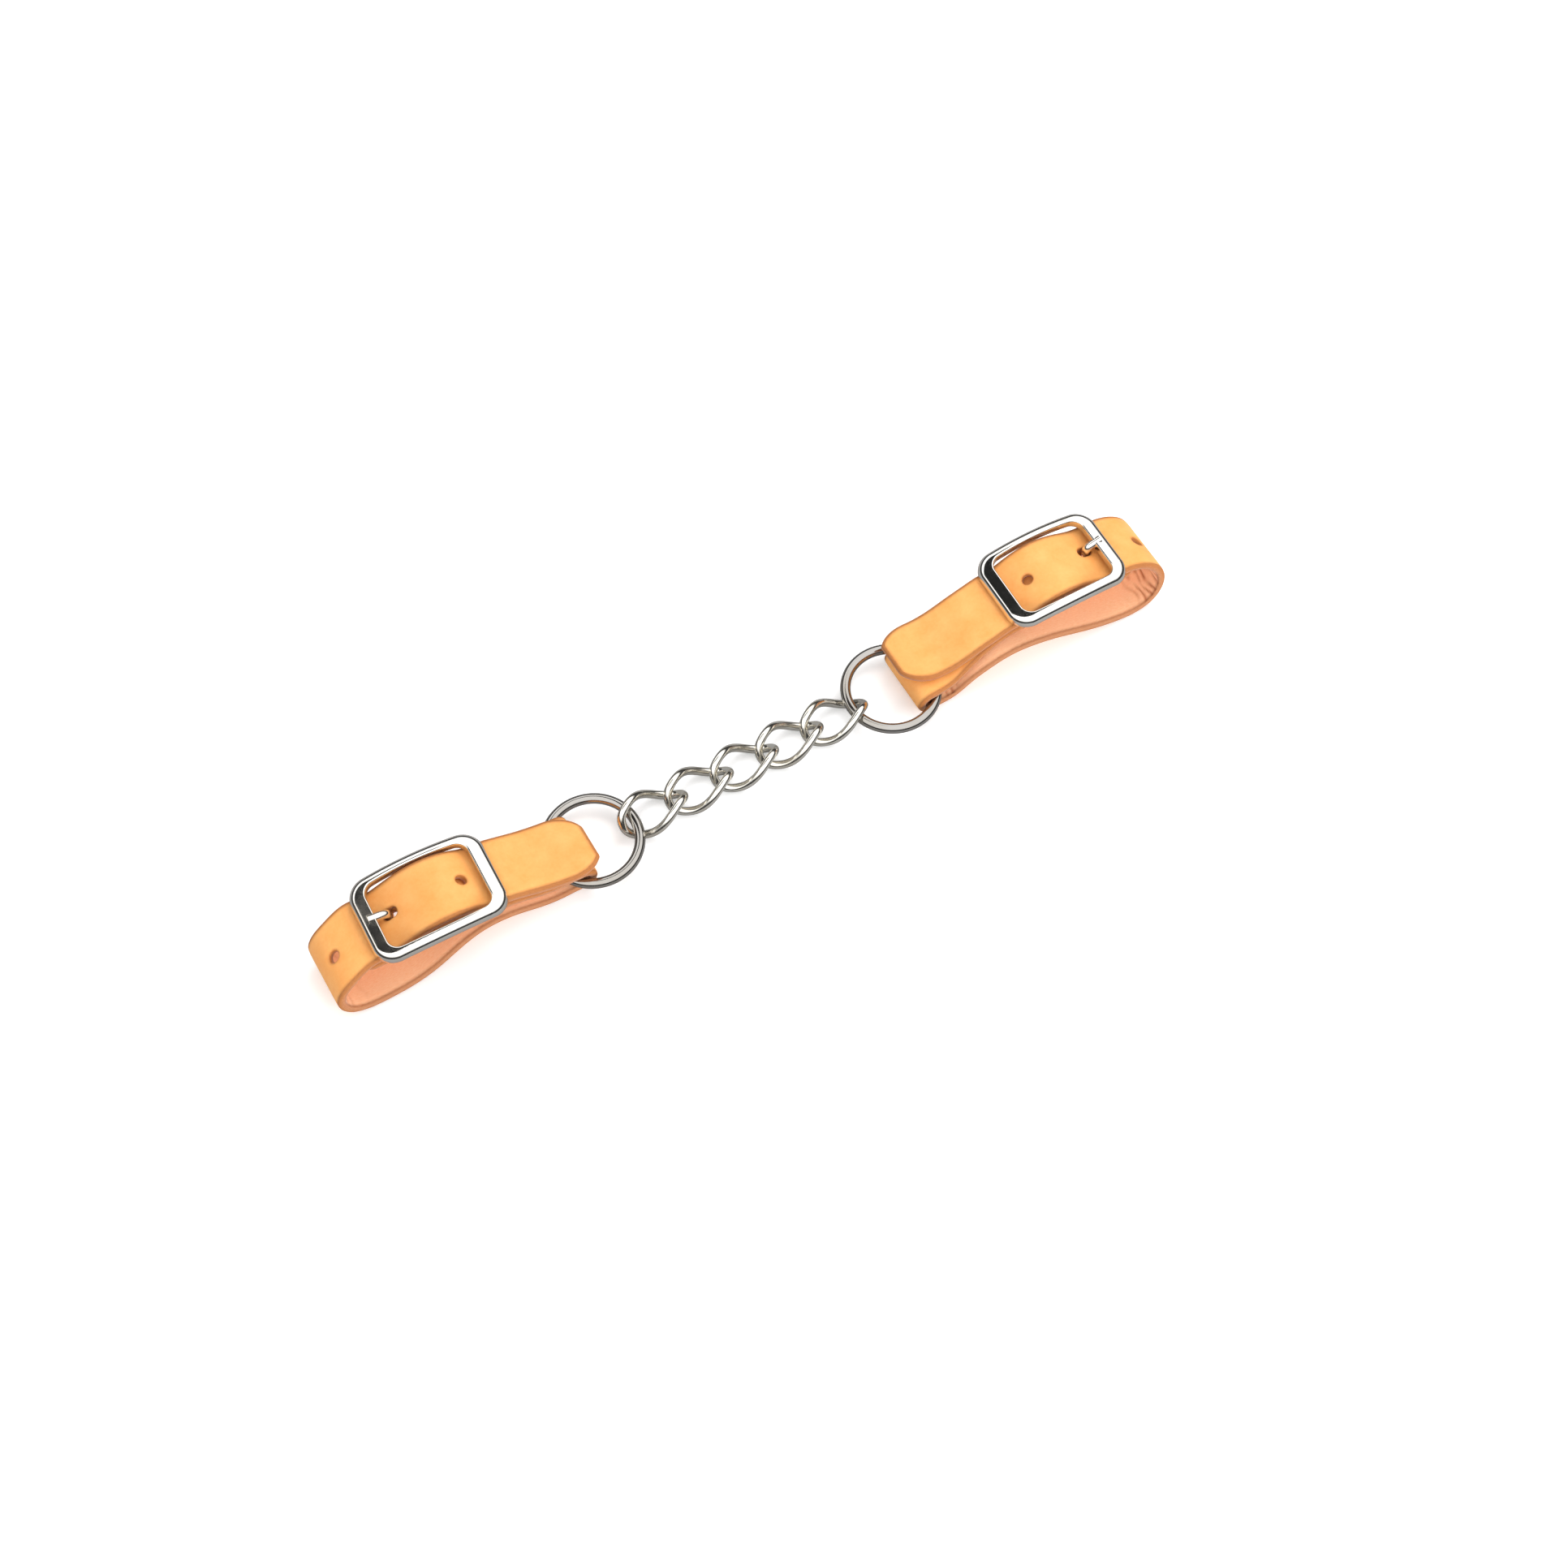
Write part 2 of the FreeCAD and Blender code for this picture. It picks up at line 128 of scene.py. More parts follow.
# lower, end: (out, across, height) of the leather's middle along the lower run and round the loop.
# held: (out, height) of the line between the two layers that the buckle holds.
# under_across, top_across: (out, across) of each layer's middle.
# under_tip, top_tip: how far out each tip ends. tip_lean: how far across the top tip leans.
# prong_from_middle: from the middle of the buckle's window to the prong's hole.
# hole_steps: the other holes, measured from the prong's along the strap towards its top tip.
# wrinkles: share of the full wrinkle depth.
LEFT = {
    "name": "left", "side": -1,
    "lower": [
        (10.2, 0.0, 1.22), (13.0, 0.0, 1.27), (19.0, 0.0, 2.3), (25.0, 0.0, 4.6), (31.0, 0.0, 6.2),
        (37.0, 0.0, 6.0), (44.0, -0.5, 4.1), (51.0, -1.6, 2.1), (58.0, -2.5, 1.35),
        (66.0, -2.8, 1.25),
    ],
    "end": [
        (72.0, -2.6, 1.5), (76.2, -2.0, 3.3), (77.6, -1.2, 6.2), (76.2, -0.3, 9.4),
        (72.5, 0.7, 11.5),
    ],
    "held": [
        (13.0, 8.26), (19.0, 8.8), (25.0, 10.1), (29.0, 10.85), (32.5, 11.35),
        (37.0, 13.6), (42.0, 15.5), (48.0, 15.5), (53.0, 13.9), (57.0, 12.1),
        (61.0, 11.1), (66.0, 10.9),
    ],
    "under_across": [(8.2, 0.0), (20.0, 0.6), (27.0, 1.25), (66.0, 2.6), (72.0, 2.7)],
    "top_across": [(1.0, -1.4), (8.2, -1.1), (20.0, 0.4), (27.0, 1.25), (66.0, 2.5)],
    "under_tip": 70.5, "top_tip": 1.6, "tip_lean": -2.0,
    "buckle_out": 46.2, "buckle_across": 1.5, "buckle_yaw": -2.0,
    "prong_from_middle": 10.9, "prong_across": -1.0, "hole_steps": (-17.3, 20.8),
    "wrinkles": 0.35,
}
RIGHT = {
    "name": "right", "side": 1,
    "lower": [
        (10.2, 0.0, 1.22), (12.6, 0.0, 1.3), (15.0, 0.0, 1.75), (19.5, 0.0, 4.5), (26.0, 0.0, 7.4),
        (33.0, 0.0, 8.8), (40.0, -0.2, 8.3), (47.0, -0.6, 6.8), (54.0, -1.2, 4.8),
        (61.0, -1.8, 2.9), (68.0, -2.2, 1.6),
    ],
    "end": [
        (74.5, -2.3, 1.35), (79.6, -1.8, 2.9), (82.3, -0.8, 6.2), (82.3, 0.5, 10.2),
        (79.6, 1.9, 13.3),
    ],
    "held": [
        (13.0, 8.3), (19.0, 9.8), (25.0, 11.7), (31.0, 12.75), (35.0, 13.1),
        (39.0, 13.6), (44.0, 15.9), (50.0, 17.8), (56.0, 17.2), (60.0, 15.6),
        (64.5, 13.8), (68.5, 13.2), (73.0, 13.2),
    ],
    "under_across": [(8.2, 0.0), (14.0, 0.4), (24.0, 2.6), (33.0, 4.0), (73.0, 3.6), (79.0, 3.5)],
    "top_across": [(2.0, 4.0), (8.2, 3.7), (20.0, 3.0), (27.0, 3.3), (35.0, 4.0), (73.0, 3.6)],
    "under_tip": 77.0, "top_tip": 2.6, "tip_lean": 2.0,
    "buckle_out": 53.4, "buckle_across": 3.75, "buckle_yaw": -0.8,
    "prong_from_middle": 12.0, "prong_across": 1.3, "hole_steps": (-15.5, 20.8),
    "wrinkles": 1.0,
}


# ---- the strip's course ----
def along(table, out):
    """Straight-line reading of an (out, value) table."""
    return float(np.interp(out, [row[0] for row in table], [row[1] for row in table]))


def held_layer(end, lift, across):
    """Middle of one of the two layers the buckle holds, lifted off the line between them."""
    table = end["held"]
    points = []
    for i, (out, height) in enumerate(table):
        before = table[max(i - 1, 0)]
        after = table[min(i + 1, len(table) - 1)]
        slope = math.atan2(after[1] - before[1], after[0] - before[0])
        new_out = out - lift * math.sin(slope)
        points.append((new_out, along(across, new_out), height + lift * math.cos(slope)))
    return points


def fold(end):
    """Half circle round the ring's wire, from the upper run down to the lower one."""
    across = along(end["under_across"], FOLD_OUT)
    points = []
    for i in range(FOLD_STEPS + 1):
        angle = math.pi / 2 + math.pi * i / FOLD_STEPS
        points.append((FOLD_OUT + FOLD_RADIUS * math.cos(angle), across,
                       LEATHER / 2 + FOLD_RADIUS * (1 + math.sin(angle))))
    return points


def strap_route(end):
    """Middle of the leather from its hidden tip, round the ring, round the loop, to its top tip."""
    lift = (LEATHER + LAYER_GAP) / 2
    under = held_layer(end, -lift, end["under_across"])
    top = held_layer(end, lift, end["top_across"])
    under_tip = (end["under_tip"], along(end["under_across"], end["under_tip"]),
                 under[-1][2] - UNDER_TIP_DROP)
    beside_fold = (FOLD_OUT, along(end["top_across"], FOLD_OUT), top[0][2])
    top_tip = (end["top_tip"], along(end["top_across"], end["top_tip"]), top[0][2] - TOP_TIP_DROP)
    route = [under_tip] + under[::-1] + fold(end) + end["lower"] + end["end"]
    return np.array(route + top[::-1] + [beside_fold, top_tip])


def end_slope(points, steps):
    """Slope at the first point of the parabola through three points."""
    first = (points[1] - points[0]) / steps[0]
    second = (points[2] - points[1]) / steps[1]
    return first + (first - second) * steps[0] / (steps[0] + steps[1])


class Course:
    """A smooth curve through the route, read by length."""

    def __init__(self, route):
        steps = np.linalg.norm(np.diff(route, axis=0), axis=1)
        slopes = self.solve_slopes(route, steps)
        samples = []
        for i, step in enumerate(steps):
            u = np.linspace(0, 1, COURSE_STEPS, endpoint=False)[:, None]
            samples.append((2 * u**3 - 3 * u**2 + 1) * route[i]
                           + (u**3 - 2 * u**2 + u) * step * slopes[i]
                           + (3 * u**2 - 2 * u**3) * route[i + 1]
                           + (u**3 - u**2) * step * slopes[i + 1])
        self.points = np.vstack(samples + [route[-1:]])
        gaps = np.linalg.norm(np.diff(self.points, axis=0), axis=1)
        self.distances = np.concatenate([[0], np.cumsum(gaps)])
        self.length = self.distances[-1]
        heading = np.gradient(self.points, self.distances, axis=0)
        flat = np.hypot(heading[:, 0], heading[:, 2])
        self.up = np.stack([-heading[:, 2] / flat, 0 * flat, heading[:, 0] / flat], axis=1)
        turn = np.unwrap(np.arctan2(heading[:, 2], heading[:, 0]))
        self.bend = np.gradient(turn, self.distances)

    @staticmethod
    def solve_slopes(route, steps):
        """Slopes that keep the curve's second derivative continuous."""
        count = len(route)
        matrix = np.zeros((count, count))
        right = np.zeros((count, 3))
        matrix[0, 0] = 1
        right[0] = end_slope(route[:3], steps[:2])
        matrix[-1, -1] = 1
        right[-1] = -end_slope(route[::-1][:3], steps[::-1][:2])
        for i in range(1, count - 1):
            a, b = steps[i - 1], steps[i]
            matrix[i, i - 1] = b
            matrix[i, i] = 2 * (a + b)
            matrix[i, i + 1] = a
            right[i] = 3 * (b * (route[i] - route[i - 1]) / a + a * (route[i + 1] - route[i]) / b)
        return np.linalg.solve(matrix, right)

    def read(self, values, distance):
        """Values known along the curve, read at the given distances."""
        columns = np.atleast_2d(values.T)
        return np.stack([np.interp(distance, self.distances, column) for column in columns], axis=-1)

    def distance_at(self, out, after, before):
        """Distance at which the strip passes over this out, between two given distances."""
        within = (self.distances >= after) & (self.distances <= before)
        place = np.argmin(np.abs(self.points[within, 0] - out))
        return float(self.distances[within][place])


def tip_share(distance, length):
    """Share of the full width at a distance from the end of a rounded tip."""
    inward = np.clip(1 - distance / length, 0, 1)
    return TIP_BLUNTNESS + (1 - TIP_BLUNTNESS) * np.sqrt(1 - inward**2)


def half_width(course, distance):
    """Half the strip's width at a distance along it."""
    under = tip_share(distance, UNDER_TIP_LENGTH)
    top = tip_share(course.length - distance, TOP_TIP_LENGTH)
    return STRAP_WIDTH / 2 * np.minimum(under, top)


# ---- flat pattern of the strip: a grid in (distance, across) with punched holes ----
def hole_places(end, course):
    """Holes as (distance, across, pull): two slots at the prong and two round ones in the top layer."""
    reach = end["prong_from_middle"]
    slope = end["side"] * math.tan(math.radians(end["buckle_yaw"]))
    out = end["buckle_out"] + reach
    across = end["buckle_across"] + reach * slope + end["side"] * end["prong_across"]
    under = course.distance_at(out, 0, UNDER_LAYER_ENDS * course.length)
    top = course.distance_at(out, TOP_LAYER_STARTS * course.length, course.length)
    places = []
    for distance in (under, top):
        middle = course.read(course.points, distance)[1]
        places.append((distance, across - middle, HOLE_PULL))
    for step in end["hole_steps"]:
        places.append((top + step, 0.0, 0.0))
    return places


def from_slot(hole, distance, across):
    """Offset from the nearest point of a hole's middle line."""
    start, middle, pull = hole
    nearest = min(max(distance - start, 0.0), pull)
    return np.array([distance - start - nearest, across - middle])


def ring_of(block):
    """Grid corners round a block, in order."""
    i0, i1, j0, j1 = block
    ring = [(i, j0) for i in range(i0, i1)]
    ring += [(i1, j) for j in range(j0, j1)]
    ring += [(i, j1) for i in range(i1, i0, -1)]
    ring += [(i0, j) for j in range(j1, j0, -1)]
    return ring


def hole_rings():
    """Loops from the patch's border to a hole's wall: (share of the way, radius, drop)."""
    lip = HOLE / 2 + HOLE_RIM
    rings = [(k / HOLE_LOOPS, lip, 0.0) for k in range(1, HOLE_LOOPS + 1)]
    for angle in HOLE_LIP_ANGLES:
        turn = math.radians(angle)
        rings.append((1.0, lip - HOLE_RIM * math.sin(turn), HOLE_RIM * (1 - math.cos(turn))))
    return rings


def hole_blocks(holes, distances, shares):
    """Block of grid cells (i0, i1, j0, j1) that each hole's patch takes the place of."""
    blocks = []
    for distance, across, pull in holes:
        i = int(np.argmin(np.abs(distances - distance)))
        j = int(np.argmin(np.abs(shares * (STRAP_WIDTH / 2 - EDGE_ROUND) - across)))
        drawn = math.ceil(pull / CELL)
        blocks.append((i - HOLE_BLOCK, i + HOLE_BLOCK + drawn, j - HOLE_BLOCK, j + HOLE_BLOCK))
    return blocks


def bridge(loops):
    """Quads between closed loops of equal length."""
    quads = []
    for low, high in zip(loops, loops[1:]):
        for a in range(len(low)):
            b = (a + 1) % len(low)
            quads.append([low[b], low[a], high[a], high[b]])
    return quads


def fill_block(hole, border, verts, faces):
    """Adds the patch from a block's border in to the hole's wall, and gives the wall's last loop."""
    loop = border
    starts = [np.array(verts[v][:2]) for v in border]
    for share, radius, drop in hole_rings():
        inner = []
        for start in starts:
            offset = from_slot(hole, *start)
            away = offset / np.linalg.norm(offset)
            spot = start - offset + away * radius
            inner.append(len(verts))
            verts.append((*(start + (spot - start) * share), drop))
        faces += bridge([inner, loop])
        loop = inner
    return loop


def flat_pattern(course, holes):
    """Vertices (distance, across, drop), faces, the outline and each hole's rim as vertex loops."""
    rows = round((course.length - 2 * EDGE_ROUND) / CELL)
    columns = 2 * round((STRAP_WIDTH / 2 - EDGE_ROUND) / CELL)
    distances = np.linspace(EDGE_ROUND, course.length - EDGE_ROUND, rows + 1)
    shares = np.linspace(-1, 1, columns + 1)
    widths = half_width(course, distances) - EDGE_ROUND
    blocks = hole_blocks(holes, distances, shares)
    verts = []
    number = {}
    for i in range(rows + 1):
        for j in range(columns + 1):
            if not any(i0 < i < i1 and j0 < j < j1 for i0, i1, j0, j1 in blocks):
                number[i, j] = len(verts)
                verts.append((distances[i], shares[j] * widths[i], 0.0))
    faces = []
    for i in range(rows):
        for j in range(columns):
            if not any(i0 <= i < i1 and j0 <= j < j1 for i0, i1, j0, j1 in blocks):
                corners = [(i, j), (i + 1, j), (i + 1, j + 1), (i, j + 1)]
                faces.append([number[corner] for corner in corners])
    rims = []
    for block, hole in zip(blocks, holes):
        border = [number[corner] for corner in ring_of(block)]
        rims.append(fill_block(hole, border, verts, faces))
    outline = [number[corner] for corner in ring_of((0, rows, 0, columns))]
    return np.array(verts), faces, outline, rims


# ---- from the flat pattern to the folded strip ----
def wander(distance, across, size, seed):
    """Smooth noise over the strip's surface, about -1 to 1."""
    return noise.noise(Vector((distance / size, across / size, seed)))


def crease(distance, across, bend):
    """Share of a cross wrinkle's depth, where the flesh side is squeezed inside a bend."""
    squeeze = min(1.0, max(0.0, bend * WRINKLE_GAIN - WRINKLE_SLACK))
    wave = distance + WRINKLE_WANDER * wander(distance, across, WRINKLE_WANDER_SIZE, WRINKLE_WANDER_SEED)
    breaks = WRINKLE_BREAKS * wander(distance, across, WRINKLE_BREAK_SIZE, WRINKLE_BREAK_SEED)
    broken = min(1.0, max(0.0, WRINKLE_SHARE + breaks))
    return squeeze * broken * (0.5 + 0.5 * math.sin(2 * math.pi * wave / WRINKLE_PITCH)) ** 2


def place_points(end, course, flat, lift):
    """Row-frame points, in metres, for (distance, across) pairs lifted off the strip's middle."""
    distance = flat[:, 0]
    middle = course.read(course.points, distance)
    up = course.read(course.up, distance)
    top_share = tip_share(course.length - distance, TOP_TIP_LENGTH)
    spots = middle + up * lift[:, None]
    spots[:, 1] += flat[:, 1] + end["tip_lean"] * (1 - top_share)
    ring_low, ring_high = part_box(end["name"] + "_ring")
    ring_x = (ring_low.x + ring_high.x) / 2
    x = ring_x + end["side"] * spots[:, 0] * MM
    return np.stack([x, spots[:, 1] * MM, spots[:, 2] * MM], axis=1)


def outward(flat_loop):
    """Unit vectors pointing out of a closed loop in the flat pattern."""
    ahead = np.roll(flat_loop, -1, axis=0) - np.roll(flat_loop, 1, axis=0)
    normal = np.stack([ahead[:, 1], -ahead[:, 0]], axis=1)
    return normal / np.linalg.norm(normal, axis=1)[:, None]


def hole_gap(holes, distance, across):
    """How far a point is from the wall of the nearest hole."""
    return min(np.linalg.norm(from_slot(hole, distance, across)) for hole in holes) - HOLE / 2


def wear_at(course, distance, across, gap):
    """Wear at a point, from 0 in the open leather to 1 at an edge."""
    to_side = half_width(course, distance) - abs(across)
    to_tip = min(distance, course.length - distance)
    edge_wear = math.exp(-max(0.0, min(to_side, to_tip) - EDGE_ROUND) / EDGE_WEAR_REACH)
    return max(edge_wear, HOLE_WEAR * math.exp(-max(0.0, gap) / HOLE_WEAR_REACH))


def swell_at(distance, across, gap, flesh):
    """Unevenness of the leather's face, and its dip round the holes."""
    step = FLESH_SEED_STEP * flesh
    swell = SWELL * wander(distance, across, SWELL_SIZE, SWELL_SEED + step)
    swell += GRAIN_SWELL * wander(distance, across, GRAIN_SIZE, GRAIN_SEED + step) * (1 + flesh)
    return swell - HOLE_DISH * math.exp(-(gap / HOLE_DISH_REACH) ** 2)


def face_points(end, course, holes, flat):
    """Surface rows of the flesh face, then of the grain face."""
    bends = course.read(course.bend, flat[:, 0])[:, 0]
    gaps = [hole_gap(holes, distance, across) for distance, across, drop in flat]
    wears = [wear_at(course, *flat[i, :2], gap) for i, gap in enumerate(gaps)]
    rows = []
    for flesh in (1, 0):
        for (distance, across, drop), bend, gap, wear in zip(flat, bends, gaps, wears):
            mark = flesh * end["wrinkles"] * crease(distance, across, bend)
            swell = swell_at(distance, across, gap, flesh) - WRINKLE_DEPTH * mark
            lift = LEATHER / 2 - drop + swell - WORN_AWAY * wear
            rows.append((distance, across, lift if flesh else -lift, flesh, wear, mark))
    return rows


def edge_points(outline):
    """Surface rows of the loops that round the cut edge, from the flesh face to the grain face."""
    away = outward(outline)
    rows = []
    for k in range(1, 2 * EDGE_LOOPS):
        angle = math.pi * k / (2 * EDGE_LOOPS)
        bulge = EDGE_ROUND * math.sin(angle) ** EDGE_BULGE_POWER
        height = math.copysign(abs(math.cos(angle)) ** EDGE_LIFT_POWER, math.cos(angle))
        lift = (LEATHER / 2 - WORN_AWAY) * height
        for spot, direction in zip(outline, away):
            place = Vector((spot[0] / EDGE_FUZZ_SIZE, spot[1] / EDGE_FUZZ_SIZE, k * EDGE_FUZZ_STEP))
            out = spot + direction * (bulge + EDGE_FUZZ * noise.noise(place))
            rows.append((out[0], out[1], lift, 1 - k / (2 * EDGE_LOOPS), 1.0, 0.0))
    return rows


def strap_mesh(end, course):
    """Surface rows (distance, across, lift, flesh share, wear, crease) and faces of the strip."""
    holes = hole_places(end, course)
    flat, faces, outline, rims = flat_pattern(course, holes)
    count = len(flat)
    rows = face_points(end, course, holes, flat)
    edge = [outline]
    for k in range(2 * EDGE_LOOPS - 1):
        start = len(rows) + k * len(outline)
        edge.append(list(range(start, start + len(outline))))
    edge.append([v + count for v in outline])
    rows += edge_points(flat[outline][:, :2])
    all_faces = faces + [[v + count for v in reversed(face)] for face in faces]
    all_faces += bridge(edge)
    for rim in rims:
        all_faces += bridge([rim, [v + count for v in rim]])
    return np.array(rows), all_faces


def add_attribute(mesh, name, values):
    """Gives the mesh one number per vertex, for its material to read."""
    attribute = mesh.attributes.new(name, "FLOAT", "POINT")
    attribute.data.foreach_set("value", np.asarray(values, np.float32))


def turn_faces_outward(mesh):
    shape = bmesh.new()
    shape.from_mesh(mesh)
    bmesh.ops.recalc_face_normals(shape, faces=shape.faces)
    shape.to_mesh(mesh)
    shape.free()


def leather_mesh(name, end):
    """The folded strip, carrying what its material reads."""
    course = Course(strap_route(end))
    surface, faces = strap_mesh(end, course)
    distance, across, lift, flesh, wear, mark = surface.T
    points = place_points(end, course, surface[:, :2], lift)
    mesh = bpy.data.meshes.new(name)
    mesh.from_pydata(points.tolist(), [], faces)
    turn_faces_outward(mesh)
    add_attribute(mesh, "distance_mm", distance)
    add_attribute(mesh, "across_mm", across)
    add_attribute(mesh, "flesh", flesh)
    add_attribute(mesh, "edge", wear)
    add_attribute(mesh, "crease", mark)
    add_attribute(mesh, "bend", np.abs(course.read(course.bend, distance)[:, 0]))
    mesh.polygons.foreach_set("use_smooth", [True] * len(mesh.polygons))
    return mesh


def build_strap(end, material):
    """One leather strap, standing for the plain CAD one and riding on its body."""
    name = end["name"] + "_strap_leather"
    node = end["name"] + "_strap"
    mesh = leather_mesh(name, end)
    mesh.materials.append(material)
    strap = bpy.data.objects.new(name, mesh)
    bpy.context.scene.collection.objects.link(strap)
    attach(strap, node)
    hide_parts(node)


# ---- shader helpers ----
class Nodes:
    """Short-hand for building a node tree."""

    def __init__(self, owner):
        owner.use_nodes = True
        self.tree = owner.node_tree
        self.tree.nodes.clear()

    def node(self, kind, inputs=None, **settings):
        made = self.tree.nodes.new(kind)
        for key, value in settings.items():
            setattr(made, key, value)
        for key, value in (inputs or {}).items():
            self.feed(made.inputs[key], value)
        return made

    def feed(self, socket, value):
        """Links a socket to another node's output, or sets it to a plain value."""
        if isinstance(value, bpy.types.NodeSocket):
            self.tree.links.new(value, socket)
        else:
            socket.default_value = value

    def attribute(self, name):
        return self.node("ShaderNodeAttribute", attribute_name=name).outputs["Fac"]

    def object_place(self):
        return self.node("ShaderNodeTexCoord").outputs["Object"]

    def ray_is(self, kind):
        return self.node("ShaderNodeLightPath").outputs["Is " + kind + " Ray"]

    def maths(self, operation, *values):
        made = self.node("ShaderNodeMath", operation=operation)
        for socket, value in zip(made.inputs, values):
            self.feed(socket, value)
        return made.outputs[0]

    def times(self, first, second):
        return self.maths("MULTIPLY", first, second)

    def plus(self, first, second):
        return self.maths("ADD", first, second)

    def blend(self, share, low, high):
        """Colour between two colours."""
        made = self.node("ShaderNodeMix", data_type="RGBA")
        self.feed(made.inputs[0], share)
        self.feed(made.inputs[6], low)
        self.feed(made.inputs[7], high)
        return made.outputs[2]

    def between(self, share, low, high):
        """Number between two numbers."""
        made = self.node("ShaderNodeMix", data_type="FLOAT")
        self.feed(made.inputs[0], share)
        self.feed(made.inputs[2], low)
        self.feed(made.inputs[3], high)
        return made.outputs[0]

    def stretch(self, value, low, high, new_low=0.0, new_high=1.0, curve="LINEAR"):
        """Value moved from one range to another, and held at its ends."""
        made = self.node("ShaderNodeMapRange", {
            "Value": value, "From Min": low, "From Max": high, "To Min": new_low, "To Max": new_high,
        }, interpolation_type=curve)
        return made.outputs["Result"]

    def scaled(self, place, scale, rotation=(0.0, 0.0, 0.0)):
        made = self.node("ShaderNodeMapping", {"Vector": place, "Scale": scale, "Rotation": rotation})
        return made.outputs[0]

    def noise(self, place, scale, detail=4.0, rough=0.55):
        made = self.node("ShaderNodeTexNoise", {"Vector": place, "Scale": scale,
                                                "Detail": detail, "Roughness": rough})
        return made.outputs["Fac"]

    def cell_edges(self, place, scale):
        made = self.node("ShaderNodeTexVoronoi", {"Vector": place, "Scale": scale, "Randomness": 1.0},
                         feature="DISTANCE_TO_EDGE")
        return made.outputs["Distance"]

    def bump(self, height, strength, distance, under=None):
        made = self.node("ShaderNodeBump", {"Height": height, "Strength": strength,
                                            "Distance": distance})
        if under is not None:
            self.feed(made.inputs["Normal"], under)
        return made.outputs["Normal"]

    def output(self, kind, surface):
        self.feed(self.node(kind).inputs["Surface"], surface)


class Shader(Nodes):
    """A new node material."""

    def __init__(self, name):
        self.material = bpy.data.materials.new(name)
        super().__init__(self.material)

    def finish(self, surface):
        self.output("ShaderNodeOutputMaterial", surface)
        return self.material


# ---- leather ----
GRAIN_LIGHT = (0.940, 0.470, 0.150, 1)
GRAIN_DEEP = (0.890, 0.355, 0.085, 1)
FLESH_LIGHT = (0.980, 0.600, 0.350, 1)
FLESH_DEEP = (0.900, 0.430, 0.220, 1)
# the crease colour below is painted shade, laid into the hollows of the wrinkles on the flesh side
CREASE_SHADE_BROWN = (0.480, 0.140, 0.050, 1)
EDGE_BROWN = (0.300, 0.090, 0.022, 1)
# Pattern sizes are noise scales on a surface measured in millimetres: larger is finer.
FLESH_OFFSET = 60.0      # keeps the flesh side's pattern apart from the grain side's
MOTTLE_SCALE = 0.16
FINE_SCALE = 1.1
FINE_SHARE = 0.3         # share of the fine pattern in the grain's colour, the rest is mottle
FIBRE_STRETCH = (0.55, 2.2, 1.0)
FIBRE_SCALE = 1.6
NAP_SCALE = 7.0
PORE_SCALE = 2.3
PORE_WIDTH = 0.16
FLESH_SWITCH = (0.35, 0.65)      # flesh shares between which the grain look gives way to the flesh look
BEND_SHADE_RANGE = (0.04, 0.30)        # bends, per millimetre, over which painted shade deepens the flesh side
BEND_SHADE_DEPTH = 0.35
WEAR_RANGE = (0.18, 1.0)         # wear over which the edge brown comes in
EDGE_DARKNESS = 0.85
CREASE_SHADE_DARKNESS = 0.95
RELIEF_STRENGTH = 0.35
RELIEF_HEIGHT = 0.00006
GRAIN_ROUGHNESS = (0.46, 0.58)
FLESH_ROUGHER = 0.30
GRAIN_COAT = 0.10
FLESH_SHEEN = 0.25


def leather_colour(s, place, flesh, fine, fibre):
    """Mottled grain and fibrous flesh, with painted shade on the flesh side in the bends and in the
    creases, and darker along the edges.
    """
    mottle = s.stretch(s.noise(place, MOTTLE_SCALE, 5.0, 0.6), 0.32, 0.68)
    grain_share = s.plus(s.times(mottle, 1 - FINE_SHARE), s.times(fine, FINE_SHARE))
    grain = s.blend(grain_share, GRAIN_DEEP, GRAIN_LIGHT)
    suede = s.blend(fibre, FLESH_DEEP, FLESH_LIGHT)
    colour = s.blend(flesh, grain, suede)
    # painted shade: the flesh side is darkened towards FLESH_DEEP in the bends, inside the folds and
    # loops
    pull = s.stretch(s.attribute("bend"), *BEND_SHADE_RANGE)
    colour = s.blend(s.times(pull, s.times(flesh, BEND_SHADE_DEPTH)), colour, FLESH_DEEP)
    # painted shade in the wrinkles' creases, following the crease depth
    colour = s.blend(s.times(s.attribute("crease"), CREASE_SHADE_DARKNESS), colour, CREASE_SHADE_BROWN)
    burnish = s.stretch(s.attribute("edge"), *WEAR_RANGE, 0.0, EDGE_DARKNESS)
    burnish = s.times(burnish, s.stretch(fine, 0.0, 1.0, 0.75, 1.1))
    return s.blend(burnish, colour, EDGE_BROWN)


def leather_relief(s, place, flesh, fine, fibre):
    """Pored relief on the grain side, nap on the flesh side."""
    pebble = s.stretch(s.cell_edges(place, PORE_SCALE), 0.0, PORE_WIDTH)
    pored = s.plus(s.times(pebble, 0.5), s.times(fine, 0.7))
    nap = s.plus(s.times(fibre, 1.6), s.noise(place, NAP_SCALE, 6.0, 0.7))
    return s.bump(s.between(flesh, pored, nap), RELIEF_STRENGTH, RELIEF_HEIGHT)


